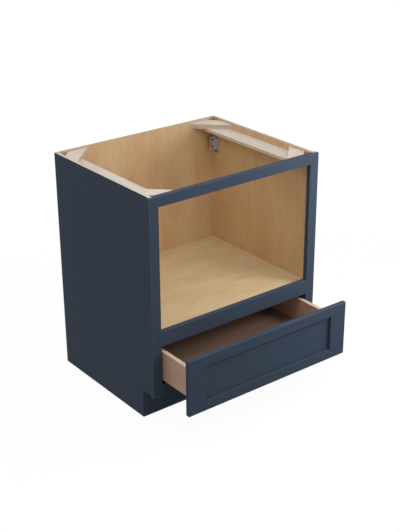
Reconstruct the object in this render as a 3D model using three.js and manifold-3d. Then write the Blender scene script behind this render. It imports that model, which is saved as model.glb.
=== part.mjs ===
import * as THREE from 'three';
import { mergeVertices } from 'three/addons/utils/BufferGeometryUtils.js';
import Module from 'manifold-3d';

const wasm = await Module();
wasm.setup();

// A face-frame base cabinet with an open microwave bay over one drawer.
// Millimetres, +Z up, +Y to the back, +X to the right as seen from the front.
// The front of the face frame is the plane y = 0 until the whole cabinet is
// moved to its reference point at the end.

// ---- Driving dimensions: cabinet ------------------------------------------

const cabinetWidth = 762; // across the face frame
const cabinetHeight = 876.3;
const cabinetDepth = 609.6; // front of the face frame to back of the back panel
const toeKickHeight = 114.3;
const toeKickSetback = 78;

const sideThickness = 12.7;
const backThickness = 12.7;
const deckThickness = 12.7;
const floorThickness = 12.7;
const toeBoardThickness = 12.7;

const dadoDepth = 6.35; // deck, floor and back let into the side panels
const deckSetDown = 15.875; // deck below the top of the middle rail
const floorSetDown = 15.875; // floor below the top of the bottom rail

const stripWidth = 69.85; // flat strips along both sides, under the blocks
const stripThickness = 12.7;
const blockLeg = 120.65; // corner block along each wall
const blockClip = 38.1; // its corner sawn off, which leaves a hole
const blockThickness = 19.05;

// ---- Driving dimensions: face frame ---------------------------------------

const frameThickness = 19.05;
const frameOverhang = 6.35; // frame past each side panel
const frameGrooveDepth = 9.525; // side panel let into the back of each stile
const stileWidth = 38.1;
const topRailWidth = 38.1;
const midRailWidth = 57.15;
const bottomRailWidth = 38.1;
const drawerOpeningHeight = 161.925;
const tenonLength = 12.7;
const tenonThickness = 6.35;
const tenonShoulder = 9.525;

// ---- Driving dimensions: angle brackets in the back corners ----------------

const bracketThickness = 2;
const bracketFrontFlange = 30; // flange that faces the front
const bracketSideFlange = 27; // flange on the side panel
const bracketHeight = 55.9;
const bracketEar = 13.9; // side flange reaches this far lower
const bracketTopDrop = 38.1; // top of the bracket below the strip
const bracketStandOff = 12.2; // front flange ahead of the back panel
const bracketCorner = 5; // rounded free corners
const bracketHoleRadius = 3;
const bracketHoleInset = 13;
const bracketScrewInset = 7; // screws from the ends of the side flange
const bracketScrewFromFold = 9.5;

// ---- Driving dimensions: drawer --------------------------------------------

const drawerOut = 169.85; // how far the drawer stands open
const drawerFrontHeight = 215.9;
const drawerFrontThickness = 19.05;
const drawerFrontReveal = 12.7; // bare frame beside the closed drawer front
const drawerFrontLift = 14.3; // bare frame below it
const drawerFrontEase = 2; // rounded outer edges
const frontStileWidth = 73;
const frontRailWidth = 38.1;
const panelRecess = 11;
const panelThickness = 5.5;
const panelGrooveDepth = 10;
const panelFloat = 0.6; // room for the panel to swell in its grooves

const roomBehindDrawer = 65.1; // shut drawer box to back panel
const boxHeight = 114.3;
const boxWall = 15.875;
const boxSideClearance = 4.7625; // drawer box to stile
const boxLift = 24.1; // drawer box above the bottom rail
const boxBottomThickness = 6;
const boxBottomRise = 12.7; // underside of the drawer bottom above the edge
const boxGrooveDepth = 7.9;
const tailCount = 4;
const pinWidth = 8; // at its narrow end
const dovetailAngle = THREE.MathUtils.degToRad(8);
const slideNotchWidth = 35; // cut-outs under the back of the drawer box

const bumperRadius = 4.5;
const bumperTopRadius = 2.7;
const bumperThickness = 1.3;
const bumperRim = 0.8;
const bumperInset = 12;
const closedGap = 1.6; // drawer front to face frame when shut

// ---- Driving dimensions: undermount slides ---------------------------------

const sheet = 1.5; // folded steel
const slideHeight = 32.7;
const slideWidth = 24;
const slideWallGap = 1.5; // slide to the inside of the drawer side
const slideStart = 17.5; // front end of the moving members, drawer shut
const channelHeight = 15;
const channelSlot = 10; // between the lips of a channel
const beamFlangeWidth = 18;
const beamFlangeThickness = 2;
const beamWebThickness = 2;
const tabHeight = 18; // outer flange that is screwed to the stile
const tabStart = 3;
const glideLength = 40;
const hookRadius = 2.5;
const hookHeight = 11.8; // hook above the underside of the drawer bottom
const hookReach = 10;
const rearPlateWidth = 44;
const rearPlateHeight = 42;
const saddleOverlap = 26; // rear bracket along the fixed member
const clipLength = 44;
const clipWidth = 22;
const clipLeverDrop = 9;
const clipLeverThickness = 3;
const clipLeverInset = 3; // lever narrower than the clip on each side

// ---- Driving dimensions: screws --------------------------------------------

const smallScrew = { headRadius: 3.6, headHeight: 2.2, shankRadius: 1.7, length: 11 };
const longScrew = { headRadius: 4.6, headHeight: 2.8, shankRadius: 2.1, length: 30 };
const frontScrewInset = 6.3; // from the inside of the drawer side
const frontScrewLow = 30; // above the lower edge of the drawer box
const frontScrewHigh = 88;

// ---- Clearances -------------------------------------------------------------

const fitGap = 0.2; // glued and seated joints
const runningGap = 0.4; // pieces that slide in each other

// ---- Facets -------------------------------------------------------------------

const holeDetail = 4; // half the sides of a small hole
const roundDetail = 6; // half the sides of a larger one
const turnedSides = 16; // screws and bumpers
const domeSteps = 4; // screw head, rim to crown
const easeSteps = 3; // rounded edges of the drawer front

// ---- Planes that the pieces share ------------------------------------------

const frameHalf = cabinetWidth / 2;
const sideOuter = frameHalf - frameOverhang;
const sideInner = sideOuter - sideThickness;
const openingHalf = frameHalf - stileWidth;
const backInner = cabinetDepth - backThickness;
const bottomRailTop = toeKickHeight + bottomRailWidth;
const midRailBottom = bottomRailTop + drawerOpeningHeight;
const midRailTop = midRailBottom + midRailWidth;
const topRailBottom = cabinetHeight - topRailWidth;
const stripTop = topRailBottom + stripThickness;

const frontBack = -closedGap; // back of the drawer front, drawer shut
const frontFace = frontBack - drawerFrontThickness;
const frontHalf = frameHalf - drawerFrontReveal;
const frontBottom = toeKickHeight + drawerFrontLift;
const frontTop = frontBottom + drawerFrontHeight;

const boxOuter = openingHalf - boxSideClearance;
const boxInner = boxOuter - boxWall;
const boxLow = bottomRailTop + boxLift;
const boxHigh = boxLow + boxHeight;
const boxRear = backInner - roomBehindDrawer;
const boxUnderside = boxLow + boxBottomRise;

const slideCentre = boxInner - slideWallGap - slideWidth / 2;
const slideBase = boxUnderside - slideHeight;
const slideRear = boxRear + fitGap + sheet;
const hookPlane = boxUnderside + hookHeight;

// ---- Finishes ----------------------------------------------------------------

const finishes = {
  navy: { color: 0x3a4553, roughness: 0.45, metalness: 0 },
  maple: { color: 0xb08d62, roughness: 0.5, metalness: 0 },
  rawPly: { color: 0xd0c0ac, roughness: 0.75, metalness: 0 },
  birch: { color: 0xc3a98c, roughness: 0.5, metalness: 0 },
  zinc: { color: 0x8d8984, roughness: 0.4, metalness: 0.9 },
  blackScrew: { color: 0x1d1b1a, roughness: 0.45, metalness: 0.8 },
  nylon: { color: 0xe2dfd6, roughness: 0.5, metalness: 0 },
  greyPlastic: { color: 0x6f7275, roughness: 0.5, metalness: 0 },
  clearBumper: { color: 0xd9dcdc, roughness: 0.3, metalness: 0 },
};

function addPiece(parent, name, geometry, finish) {
  const piece = new THREE.Mesh(geometry, new THREE.MeshStandardMaterial(finishes[finish]));
  piece.name = name;
  parent.add(piece);
  return piece;
}

const hands = [['left', -1], ['right', 1]];

// ---- Shapes ------------------------------------------------------------------

// A block given by its two ends along each axis, in either order.
function block(x, y, z) {
  const order = (a, b) => a - b;
  return { x: [...x].sort(order), y: [...y].sort(order), z: [...z].sort(order) };
}

function grown({ x, y, z }, gap) {
  const wider = ([low, high]) => [low - gap, high + gap];
  return { x: wider(x), y: wider(y), z: wider(z) };
}

// Every corner takes the block's own numbers, so neighbours share exact planes.
function blockGeometry({ x, y, z }) {
  const geometry = new THREE.BoxGeometry(1, 1, 1);
  const at = geometry.attributes.position;
  const pick = (side, ends) => (side < 0 ? ends[0] : ends[1]);
  for (let i = 0; i < at.count; i++) {
    at.setXYZ(i, pick(at.getX(i), x), pick(at.getY(i), y), pick(at.getZ(i), z));
  }
  return geometry;
}

function outline(points) {
  return new THREE.Shape(points.map(([u, v]) => new THREE.Vector2(u, v)));
}

function disc(u, v, radius) {
  const shape = new THREE.Shape();
  shape.absarc(u, v, radius, 0, Math.PI * 2);
  return shape;
}

// A shape run along one axis. Its own plane is (y, z) for a run along x,
// (z, x) along y and (x, y) along z.
const runsAlong = {
  x: (u, v, w) => [w, u, v],
  y: (u, v, w) => [v, w, u],
  z: (u, v, w) => [u, v, w],
};

function run(shape, axis, [from, to], curveSegments = roundDetail) {
  const unitDepth = { depth: 1, bevelEnabled: false, curveSegments };
  const geometry = new THREE.ExtrudeGeometry(shape, unitDepth);
  const at = geometry.attributes.position;
  const [low, high] = from < to ? [from, to] : [to, from];
  for (let i = 0; i < at.count; i++) {
    const along = at.getZ(i) < 0.5 ? low : high;
    at.setXYZ(i, ...runsAlong[axis](at.getX(i), at.getY(i), along));
  }
  geometry.computeVertexNormals();
  return geometry;
}

// ---- Joining and cutting -----------------------------------------------------

function solidOf(geometry) {
  const bare = geometry.clone();
  for (const name of Object.keys(bare.attributes)) {
    if (name !== 'position') bare.deleteAttribute(name);
  }
  const merged = mergeVertices(bare);
  return new wasm.Manifold(new wasm.Mesh({
    numProp: 3,
    vertProperties: merged.attributes.position.array,
    triVerts: merged.index.array,
  }));
}

function geometryOf(solid) {
  const { vertProperties, triVerts } = solid.getMesh();
  const geometry = new THREE.BufferGeometry();
  geometry.setAttribute('position', new THREE.BufferAttribute(new Float32Array(vertProperties), 3));
  geometry.setIndex(new THREE.BufferAttribute(new Uint32Array(triVerts), 1));
  const faceted = geometry.toNonIndexed();
  faceted.computeVertexNormals();
  return faceted;
}

function without(geometry, cutters) {
  const cut = cutters.map(solidOf).reduce((solid, cutter) => solid.subtract(cutter), solidOf(geometry));
  return geometryOf(cut);
}

function joined(geometries) {
  const [first, ...others] = geometries.map(solidOf);
  return geometryOf(others.reduce((solid, other) => solid.add(other), first));
}

function common(first, second) {
  return geometryOf(solidOf(first).intersect(solidOf(second)));
}

// Room for a seated piece: its own block and the joint's gap all round.
function pocketFor(seated) {
  return blockGeometry(grown(seated, fitGap));
}

// ---- Screws ------------------------------------------------------------------

// A pan-head screw along local Y: the head's underside is at 0, the tip at -length.
function screwGeometry({ headRadius, headHeight, shankRadius, length }) {
  const tip = length - shankRadius * 2;
  const profile = [
    new THREE.Vector2(0, -length),
    new THREE.Vector2(shankRadius, -tip),
    new THREE.Vector2(shankRadius, 0),
    new THREE.Vector2(headRadius, 0),
  ];
  for (let i = 1; i < domeSteps; i++) {
    const angle = (i / domeSteps) * Math.PI / 2;
    profile.push(new THREE.Vector2(headRadius * Math.cos(angle), headHeight * Math.sin(angle)));
  }
  profile.push(new THREE.Vector2(0, headHeight));
  return new THREE.LatheGeometry(profile, turnedSides);
}

// ---- Where the cabinet's boards lie ------------------------------------------

const deck = block(
  [-sideInner - dadoDepth, sideInner + dadoDepth],
  [frameThickness, backInner],
  [midRailTop - deckSetDown - deckThickness, midRailTop - deckSetDown],
);
const floorBoard = block(
  [-sideInner - dadoDepth, sideInner + dadoDepth],
  [frameThickness, backInner],
  [bottomRailTop - floorSetDown - floorThickness, bottomRailTop - floorSetDown],
);
const backBoard = block(
  [-sideInner - dadoDepth, sideInner + dadoDepth],
  [backInner, cabinetDepth],
  [0, cabinetHeight],
);
const toeBoard = block(
  [-sideInner, sideInner],
  [toeKickSetback, toeKickSetback + toeBoardThickness],
  [0, floorBoard.z[0]],
);
const sideBoard = (side) => block(
  [side * sideInner, side * sideOuter],
  [frameThickness - frameGrooveDepth, cabinetDepth],
  [0, cabinetHeight],
);

// ---- Angle bracket places ------------------------------------------------------

const bracketTop = topRailBottom - bracketTopDrop;
const bracketLow = bracketTop - bracketHeight;
const bracketEarLow = bracketLow - bracketEar;
const bracketFold = backInner - bracketStandOff;
const bracketScrewY = bracketFold - bracketScrewFromFold;
const bracketScrewHeights = {
  lower: bracketEarLow + bracketScrewInset,
  upper: bracketTop - bracketScrewInset,
};

// ---- Carcass -------------------------------------------------------------------

// The side panel has the toe notch, a dado each for deck and floor, a rabbet for
// the back panel and pilot holes for the angle bracket.
function sidePanel(side) {
  const past = sideThickness;
  const toeNotch = block(
    [side * (sideInner - past), side * (sideOuter + past)],
    [-past, toeKickSetback],
    [-past, toeKickHeight],
  );
  const backRabbet = block(
    backBoard.x,
    [backInner, cabinetDepth + past],
    [-past, cabinetHeight + past],
  );
  const pilotDepth = smallScrew.length - bracketThickness + fitGap;
  const pilots = Object.values(bracketScrewHeights).map((height) => run(
    disc(bracketScrewY, height, smallScrew.shankRadius + fitGap),
    'x',
    [side * (sideInner - past), side * (sideInner + pilotDepth)],
    holeDetail,
  ));
  return without(blockGeometry(sideBoard(side)), [
    blockGeometry(toeNotch),
    pocketFor(deck),
    pocketFor(floorBoard),
    pocketFor(backRabbet),
    ...pilots,
  ]);
}

function seatedBoard(board) {
  const { x, y, z } = board;
  return blockGeometry({ x: [x[0] + fitGap, x[1] - fitGap], y, z });
}

function cornerBlock(side, atBack) {
  const wall = side * sideInner;
  const inward = -side;
  const end = atBack ? backInner : frameThickness;
  const along = atBack ? -1 : 1;
  const shape = outline([
    [wall + inward * blockLeg, end],
    [wall + inward * blockClip, end],
    [wall, end + along * blockClip],
    [wall, end + along * blockLeg],
  ]);
  return run(shape, 'z', [stripTop, stripTop + blockThickness]);
}

function addCarcass(parent) {
  for (const [hand, side] of hands) {
    addPiece(parent, `side_panel_${hand}`, sidePanel(side), 'navy');
    const strip = block(
      [side * sideInner, side * (sideInner - stripWidth)],
      [frameThickness, backInner],
      [topRailBottom, stripTop],
    );
    addPiece(parent, `side_strip_${hand}`, blockGeometry(strip), 'rawPly');
    addPiece(parent, `corner_block_front_${hand}`, cornerBlock(side, false), 'rawPly');
    addPiece(parent, `corner_block_back_${hand}`, cornerBlock(side, true), 'rawPly');
  }
  addPiece(parent, 'back_panel', seatedBoard(backBoard), 'maple');
  addPiece(parent, 'microwave_deck', seatedBoard(deck), 'maple');
  addPiece(parent, 'cabinet_floor', seatedBoard(floorBoard), 'maple');
  addPiece(parent, 'toe_kick_board', blockGeometry(toeBoard), 'navy');
}

// ---- Face frame: rails tenoned into stiles --------------------------------------

const railSpans = {
  frame_top_rail: [topRailBottom, cabinetHeight],
  frame_mid_rail: [midRailBottom, midRailTop],
  frame_bottom_rail: [toeKickHeight, bottomRailTop],
};

function tenonThrough([low, high]) {
  const cheek = (frameThickness - tenonThickness) / 2;
  return block(
    [-openingHalf - tenonLength, openingHalf + tenonLength],
    [cheek, frameThickness - cheek],
    [low + tenonShoulder, high - tenonShoulder],
  );
}

function addFaceFrame(parent) {
  for (const [hand, side] of hands) {
    const stile = block(
      [side * openingHalf, side * frameHalf],
      [0, frameThickness],
      [toeKickHeight, cabinetHeight],
    );
    const mortises = Object.values(railSpans).map((span) => pocketFor(tenonThrough(span)));
    const cut = without(blockGeometry(stile), [pocketFor(sideBoard(side)), ...mortises]);
    addPiece(parent, `frame_stile_${hand}`, cut, 'navy');
  }
  for (const [name, span] of Object.entries(railSpans)) {
    const rail = block([-openingHalf, openingHalf], [0, frameThickness], span);
    addPiece(parent, name, joined([blockGeometry(rail), blockGeometry(tenonThrough(span))]), 'navy');
  }
}

// ---- Angle brackets in the back corners ------------------------------------------

// A flat plate with its two free corners rounded; `fold` is the straight edge.
function plateOutline(fold, free, low, high) {
  const inward = Math.sign(fold - free) * bracketCorner;
  const shape = new THREE.Shape();
  shape.moveTo(fold, low);
  shape.lineTo(free + inward, low);
  shape.quadraticCurveTo(free, low, free, low + bracketCorner);
  shape.lineTo(free, high - bracketCorner);
  shape.quadraticCurveTo(free, high, free + inward, high);
  shape.lineTo(fold, high);
  return shape;
}

// The plane of a run along y is (z, x), so the front flange swaps its two axes.
function swapAxes(shape) {
  return outline(shape.getPoints(holeDetail).map(({ x, y }) => [y, x]));
}

function angleBracket(side) {
  const wall = side * sideInner;
  const face = wall - side * bracketThickness;
  const frontFlange = run(
    swapAxes(plateOutline(wall, wall - side * bracketFrontFlange, bracketLow, bracketTop)),
    'y',
    [bracketFold, bracketFold - bracketThickness],
  );
  const sideFlange = run(
    plateOutline(bracketFold, bracketFold - bracketSideFlange, bracketEarLow, bracketTop),
    'x',
    [wall, face],
    holeDetail,
  );
  const holeX = wall - side * (bracketThickness + bracketFrontFlange) / 2;
  const frontHoles = [bracketLow + bracketHoleInset, bracketTop - bracketHoleInset].map((height) => run(
    disc(height, holeX, bracketHoleRadius),
    'y',
    [bracketFold - bracketSideFlange, bracketFold + bracketThickness],
  ));
  const screwHoles = Object.values(bracketScrewHeights).map((height) => run(
    disc(bracketScrewY, height, smallScrew.shankRadius + fitGap),
    'x',
    [wall + side * bracketThickness, face - side * bracketThickness],
    holeDetail,
  ));
  return without(joined([frontFlange, sideFlange]), [...frontHoles, ...screwHoles]);
}

function addAngleBrackets(parent) {
  for (const [hand, side] of hands) {
    addPiece(parent, `angle_bracket_${hand}`, angleBracket(side), 'zinc');
    for (const [level, height] of Object.entries(bracketScrewHeights)) {
      const name = `bracket_screw_${hand}_${level}`;
      const screw = addPiece(parent, name, screwGeometry(smallScrew), 'blackScrew');
      screw.position.set(side * (sideInner - bracketThickness - fitGap), bracketScrewY, height);
      screw.rotation.z = side * Math.PI / 2;
    }
  }
}

// ---- Undermount slides --------------------------------------------------------------

// Half widths and levels of the nested steel sections, seen from the front.
const channelHalf = slideWidth / 2;
const slotHalf = channelSlot / 2;
const beamHalf = beamFlangeWidth / 2;
const webHalf = beamWebThickness / 2;
const lowerFlangeMid = slideBase + channelHeight / 2;
const upperFlangeMid = boxUnderside - channelHeight / 2;

// Points are (x, z); a run along y takes (z, x).
function section(points) {
  return outline(points.map(([x, z]) => [z, x]));
}

// A lipped channel; `up` is 1 when its slot opens upwards and -1 downwards.
function channelPoints(centre, base, up, extra = []) {
  const at = (across, rise) => [centre + across, base + up * rise];
  return [
    at(-channelHalf, 0),
    ...extra,
    at(channelHalf, extra.length ? sheet : 0),
    at(channelHalf, channelHeight),
    at(slotHalf, channelHeight),
    at(slotHalf, channelHeight - sheet),
    at(channelHalf - sheet, channelHeight - sheet),
    at(channelHalf - sheet, sheet),
    at(-channelHalf + sheet, sheet),
    at(-channelHalf + sheet, channelHeight - sheet),
    at(-slotHalf, channelHeight - sheet),
    at(-slotHalf, channelHeight),
    at(-channelHalf, channelHeight),
  ];
}

const mirrored = (points, side) => points.map(([x, z]) => [side * x, z]);

// The fixed member's floor runs out under the drawer side to the tab on the stile.
function fixedMember(side) {
  const tab = [
    [openingHalf, slideBase],
    [openingHalf, slideBase + tabHeight],
    [openingHalf - sheet, slideBase + tabHeight],
    [openingHalf - sheet, slideBase + sheet],
  ];
  const points = channelPoints(slideCentre, slideBase, 1, tab);
  return run(section(mirrored(points, side)), 'y', [tabStart, slideRear]);
}

function beamPoints(centre) {
  const half = beamFlangeThickness / 2;
  return [
    [centre - beamHalf, lowerFlangeMid - half],
    [centre + beamHalf, lowerFlangeMid - half],
    [centre + beamHalf, lowerFlangeMid + half],
    [centre + webHalf, lowerFlangeMid + half],
    [centre + webHalf, upperFlangeMid - half],
    [centre + beamHalf, upperFlangeMid - half],
    [centre + beamHalf, upperFlangeMid + half],
    [centre - beamHalf, upperFlangeMid + half],
    [centre - beamHalf, upperFlangeMid - half],
    [centre - webHalf, upperFlangeMid - half],
    [centre - webHalf, lowerFlangeMid + half],
    [centre - beamHalf, lowerFlangeMid + half],
  ];
}

// A nylon glide wraps one flange of the beam and fills the channel around it.
function glidePoints(centre, flangeMid, up) {
  const inside = channelHalf - sheet - runningGap;
  const rise = channelHeight / 2 - sheet - runningGap;
  const flange = beamFlangeThickness / 2 + fitGap;
  const web = webHalf + fitGap;
  const at = (across, level) => [centre + across, flangeMid + up * level];
  return [
    at(-inside, -rise),
    at(inside, -rise),
    at(inside, rise),
    at(web, rise),
    at(web, flange),
    at(beamHalf + fitGap, flange),
    at(beamHalf + fitGap, -flange),
    at(-beamHalf - fitGap, -flange),
    at(-beamHalf - fitGap, flange),
    at(-web, flange),
    at(-web, rise),
    at(-inside, rise),
  ];
}

// The drawer member's rear end is turned up into a hook that holds the drawer back.
function drawerMember(side) {
  const points = channelPoints(slideCentre, boxUnderside, -1);
  const channel = run(section(mirrored(points, side)), 'y', [slideStart, slideRear]);
  const hookTab = block(
    [side * (slideCentre - slotHalf), side * (slideCentre + slotHalf)],
    [slideRear - sheet, slideRear],
    [boxUnderside - sheet, hookPlane + slotHalf],
  );
  const hook = run(
    disc(hookPlane, side * slideCentre, hookRadius),
    'y',
    [slideRear - sheet - hookReach, slideRear - sheet / 2],
    holeDetail,
  );
  return joined([channel, blockGeometry(hookTab), hook]);
}

function rearBracket(side) {
  const inside = channelHalf + fitGap;
  const low = slideBase - fitGap;
  const wallTop = slideBase + channelHeight - sheet;
  const saddle = run(section(mirrored([
    [slideCentre - inside - sheet, low - sheet],
    [slideCentre + inside + sheet, low - sheet],
    [slideCentre + inside + sheet, slideBase - fitGap / 2],
    [slideCentre + inside, slideBase - fitGap / 2],
    [slideCentre + inside, low],
    [slideCentre - inside, low],
    [slideCentre - inside, wallTop],
    [slideCentre - inside - sheet, wallTop],
  ], side)), 'y', [slideRear - saddleOverlap, backInner - sheet / 2]);
  const plate = block(
    [side * (slideCentre - rearPlateWidth / 2), side * (slideCentre + rearPlateWidth / 2)],
    [backInner - sheet, backInner],
    [low - sheet, low - sheet + rearPlateHeight],
  );
  return joined([saddle, blockGeometry(plate)]);
}

// The locking clip fills the corner behind the box front and has a finger lever.
function frontClip(side) {
  const rearFace = frontBack + boxWall;
  const outerEdge = slideCentre - channelHalf - fitGap;
  const innerEdge = outerEdge - clipWidth;
  const noseEdge = slideCentre + slotHalf;
  const plan = outline(mirrored([
    [innerEdge, rearFace],
    [noseEdge, rearFace],
    [noseEdge, slideStart - fitGap],
    [outerEdge, slideStart - fitGap],
    [outerEdge, rearFace + clipLength],
    [innerEdge, rearFace + clipLength],
  ], side));
  const body = run(plan, 'z', [boxUnderside - channelHeight + sheet, boxUnderside]);
  const lever = new THREE.Shape();
  const leverTop = boxUnderside - channelHeight / 2;
  const leverLow = boxUnderside - channelHeight + sheet - clipLeverDrop;
  const leverInside = leverLow + clipLeverThickness;
  const rootFront = rearFace + clipLength / 4;
  const rootBack = rearFace + clipLength / 2;
  lever.moveTo(rootBack, leverTop);
  lever.quadraticCurveTo(rootBack, leverLow, rearFace, leverLow);
  lever.lineTo(rearFace, leverInside);
  lever.quadraticCurveTo(rootFront, leverInside, rootFront, leverTop);
  const leverWidth = [side * (innerEdge + clipLeverInset), side * (outerEdge - clipLeverInset)];
  return joined([body, run(lever, 'x', leverWidth)]);
}

function addFixedSlides(parent) {
  for (const [hand, side] of hands) {
    addPiece(parent, `slide_fixed_member_${hand}`, fixedMember(side), 'zinc');
    addPiece(parent, `slide_rear_bracket_${hand}`, rearBracket(side), 'greyPlastic');
  }
}

// The lower glides stay in the fixed member and the upper ones in the drawer member.
function addMiddleSlides(parent) {
  const middle = (slideStart + slideRear) / 2;
  const glideSeats = {
    lower_front: [lowerFlangeMid, 1, middle],
    lower_rear: [lowerFlangeMid, 1, slideRear - glideLength],
    upper_front: [upperFlangeMid, -1, slideStart],
    upper_rear: [upperFlangeMid, -1, middle - glideLength],
  };
  for (const [hand, side] of hands) {
    const beam = run(section(mirrored(beamPoints(slideCentre), side)), 'y', [slideStart, slideRear]);
    addPiece(parent, `slide_middle_member_${hand}`, beam, 'zinc');
    for (const [seat, [flangeMid, up, start]] of Object.entries(glideSeats)) {
      const points = mirrored(glidePoints(slideCentre, flangeMid, up), side);
      const glide = run(section(points), 'y', [start, start + glideLength]);
      addPiece(parent, `slide_glide_${seat}_${hand}`, glide, 'nylon');
    }
  }
}

function addDrawerSlides(parent) {
  for (const [hand, side] of hands) {
    addPiece(parent, `slide_drawer_member_${hand}`, drawerMember(side), 'zinc');
    addPiece(parent, `slide_front_clip_${hand}`, frontClip(side), 'greyPlastic');
  }
}

// ---- Drawer front: five pieces, flat panel in grooves ---------------------------------

const frontPanel = block(
  [-frontHalf + frontStileWidth - panelGrooveDepth, frontHalf - frontStileWidth + panelGrooveDepth],
  [frontFace + panelRecess, frontFace + panelRecess + panelThickness],
  [frontBottom + frontRailWidth - panelGrooveDepth, frontTop - frontRailWidth + panelGrooveDepth],
);

const frontScrewHeights = { low: boxLow + frontScrewLow, high: boxLow + frontScrewHigh };
const frontScrewX = boxInner - frontScrewInset;

// The whole front as one slab with eased edges; each member is a part of it.
function easedSlab() {
  const shape = outline([
    [-frontHalf, frontBottom],
    [frontHalf, frontBottom],
    [frontHalf, frontTop],
    [-frontHalf, frontTop],
  ]);
  const slab = new THREE.ExtrudeGeometry(shape, {
    depth: drawerFrontThickness - 2 * drawerFrontEase,
    bevelEnabled: true,
    bevelThickness: drawerFrontEase,
    bevelSize: drawerFrontEase,
    bevelOffset: -drawerFrontEase,
    bevelSegments: easeSteps,
  });
  slab.rotateX(Math.PI / 2);
  slab.translate(0, frontBack - drawerFrontEase, 0);
  return slab;
}

// What one member keeps of the slab; generous where the slab's own edge limits it.
function frontMember(region, cuts) {
  const kept = common(easedSlab(), region);
  return without(kept, cuts);
}

function screwHole(screw, x, z, [from, to]) {
  return run(disc(z, x, screw.shankRadius + fitGap), 'y', [from, to], holeDetail);
}

function addDrawerFront(parent) {
  const past = drawerFrontThickness;
  const depth = [frontFace - past, frontBack];
  const inner = frontHalf - frontStileWidth;
  const tongueReach = inner + panelGrooveDepth - panelFloat;
  const tongue = (span) => block([-tongueReach, tongueReach], frontPanel.y, span);
  const panelRoom = grown(frontPanel, fitGap);
  const pilotDepth = longScrew.length - boxWall + fitGap;

  for (const [hand, side] of hands) {
    const height = [frontBottom - past, frontTop + past];
    const region = block([side * inner, side * (frontHalf + past)], depth, height);
    const groove = block([0, side * (inner + panelGrooveDepth)], panelRoom.y, height);
    const pilots = Object.values(frontScrewHeights).map((level) => (
      screwHole(longScrew, side * frontScrewX, level, [frontBack - pilotDepth, frontBack + past])
    ));
    const stile = frontMember(blockGeometry(region), [blockGeometry(groove), ...pilots]);
    addPiece(parent, `drawer_front_stile_${hand}`, stile, 'navy');
  }

  const middle = (frontBottom + frontTop) / 2;
  const rails = {
    drawer_front_rail_top: {
      span: [frontTop - frontRailWidth, frontTop + past],
      grooveFloor: frontPanel.z[1] + panelFloat,
    },
    drawer_front_rail_bottom: {
      span: [frontBottom - past, frontBottom + frontRailWidth],
      grooveFloor: frontPanel.z[0] - panelFloat,
    },
  };
  for (const [name, { span, grooveFloor }] of Object.entries(rails)) {
    const body = block([-inner, inner], depth, span);
    const groove = block([-frontHalf, frontHalf], panelRoom.y, [middle, grooveFloor]);
    const region = joined([blockGeometry(body), blockGeometry(tongue(span))]);
    addPiece(parent, name, frontMember(region, [blockGeometry(groove)]), 'navy');
  }

  const { x, y, z } = frontPanel;
  const floating = block([x[0] + panelFloat, x[1] - panelFloat], y, z);
  addPiece(parent, 'drawer_front_panel', blockGeometry(floating), 'navy');
}

// ---- Dovetailed drawer box ----------------------------------------------------------------

const boxBottom = block(
  [-boxInner - boxGrooveDepth, boxInner + boxGrooveDepth],
  [frontBack + boxWall - boxGrooveDepth, boxRear - boxWall + boxGrooveDepth],
  [boxUnderside, boxUnderside + boxBottomThickness],
);

const pinSlope = Math.tan(dovetailAngle);
const tailPitch = boxHeight / tailCount;

// The back has no pin at its lower corners, where the slides pass under it.
const boxFrontEnd = { end: frontBack, inward: 1, lowestPin: 0 };
const boxBackEnd = { end: boxRear, inward: -1, lowestPin: 1 };

// A trapezoid across the end of a drawer side, which widens by `slope` for each
// millimetre from the end towards the root of the tails.
function wedge(end, inward, low, high, slope) {
  const reach = boxWall + sheet;
  const widthAt = (distance) => [low - slope * distance, high + slope * distance];
  const [outerLow, outerHigh] = widthAt(-sheet);
  const [rootLow, rootHigh] = widthAt(reach);
  return outline([
    [end - inward * sheet, outerLow],
    [end - inward * sheet, outerHigh],
    [end + inward * reach, rootHigh],
    [end + inward * reach, rootLow],
  ]);
}

// The sockets in a drawer side that take the pins of an end board.
function pinSockets(side, { end, inward, lowestPin }) {
  const across = [side * (boxInner - boxWall), side * (boxOuter + boxWall)];
  const room = block(
    across,
    [end - inward, end + inward * boxWall],
    [boxLow - boxWall, boxHigh + boxWall],
  );
  const sockets = [];
  for (let i = lowestPin; i <= tailCount; i++) {
    const centre = boxLow + i * tailPitch;
    const shape = wedge(end, inward, centre - pinWidth / 2, centre + pinWidth / 2, pinSlope);
    sockets.push(common(run(shape, 'x', across), blockGeometry(room)));
  }
  return sockets;
}

// The room in an end board for the tails of a drawer side.
function tailRooms(side, { end, inward, lowestPin }) {
  const across = [side * (boxInner - fitGap), side * (boxOuter + boxWall)];
  const rooms = [];
  for (let i = 0; i < tailCount; i++) {
    const low = boxLow + i * tailPitch + pinWidth / 2 - fitGap;
    const high = boxLow + (i + 1) * tailPitch - pinWidth / 2 + fitGap;
    rooms.push(run(wedge(end, inward, low, high, -pinSlope), 'x', across));
  }
  const belowLowestPin = block(
    across,
    [end - inward * sheet, end + inward * (boxWall + sheet)],
    [boxLow - boxWall, boxLow + lowestPin * tailPitch / 2],
  );
  return lowestPin ? [...rooms, blockGeometry(belowLowestPin)] : rooms;
}

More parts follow.
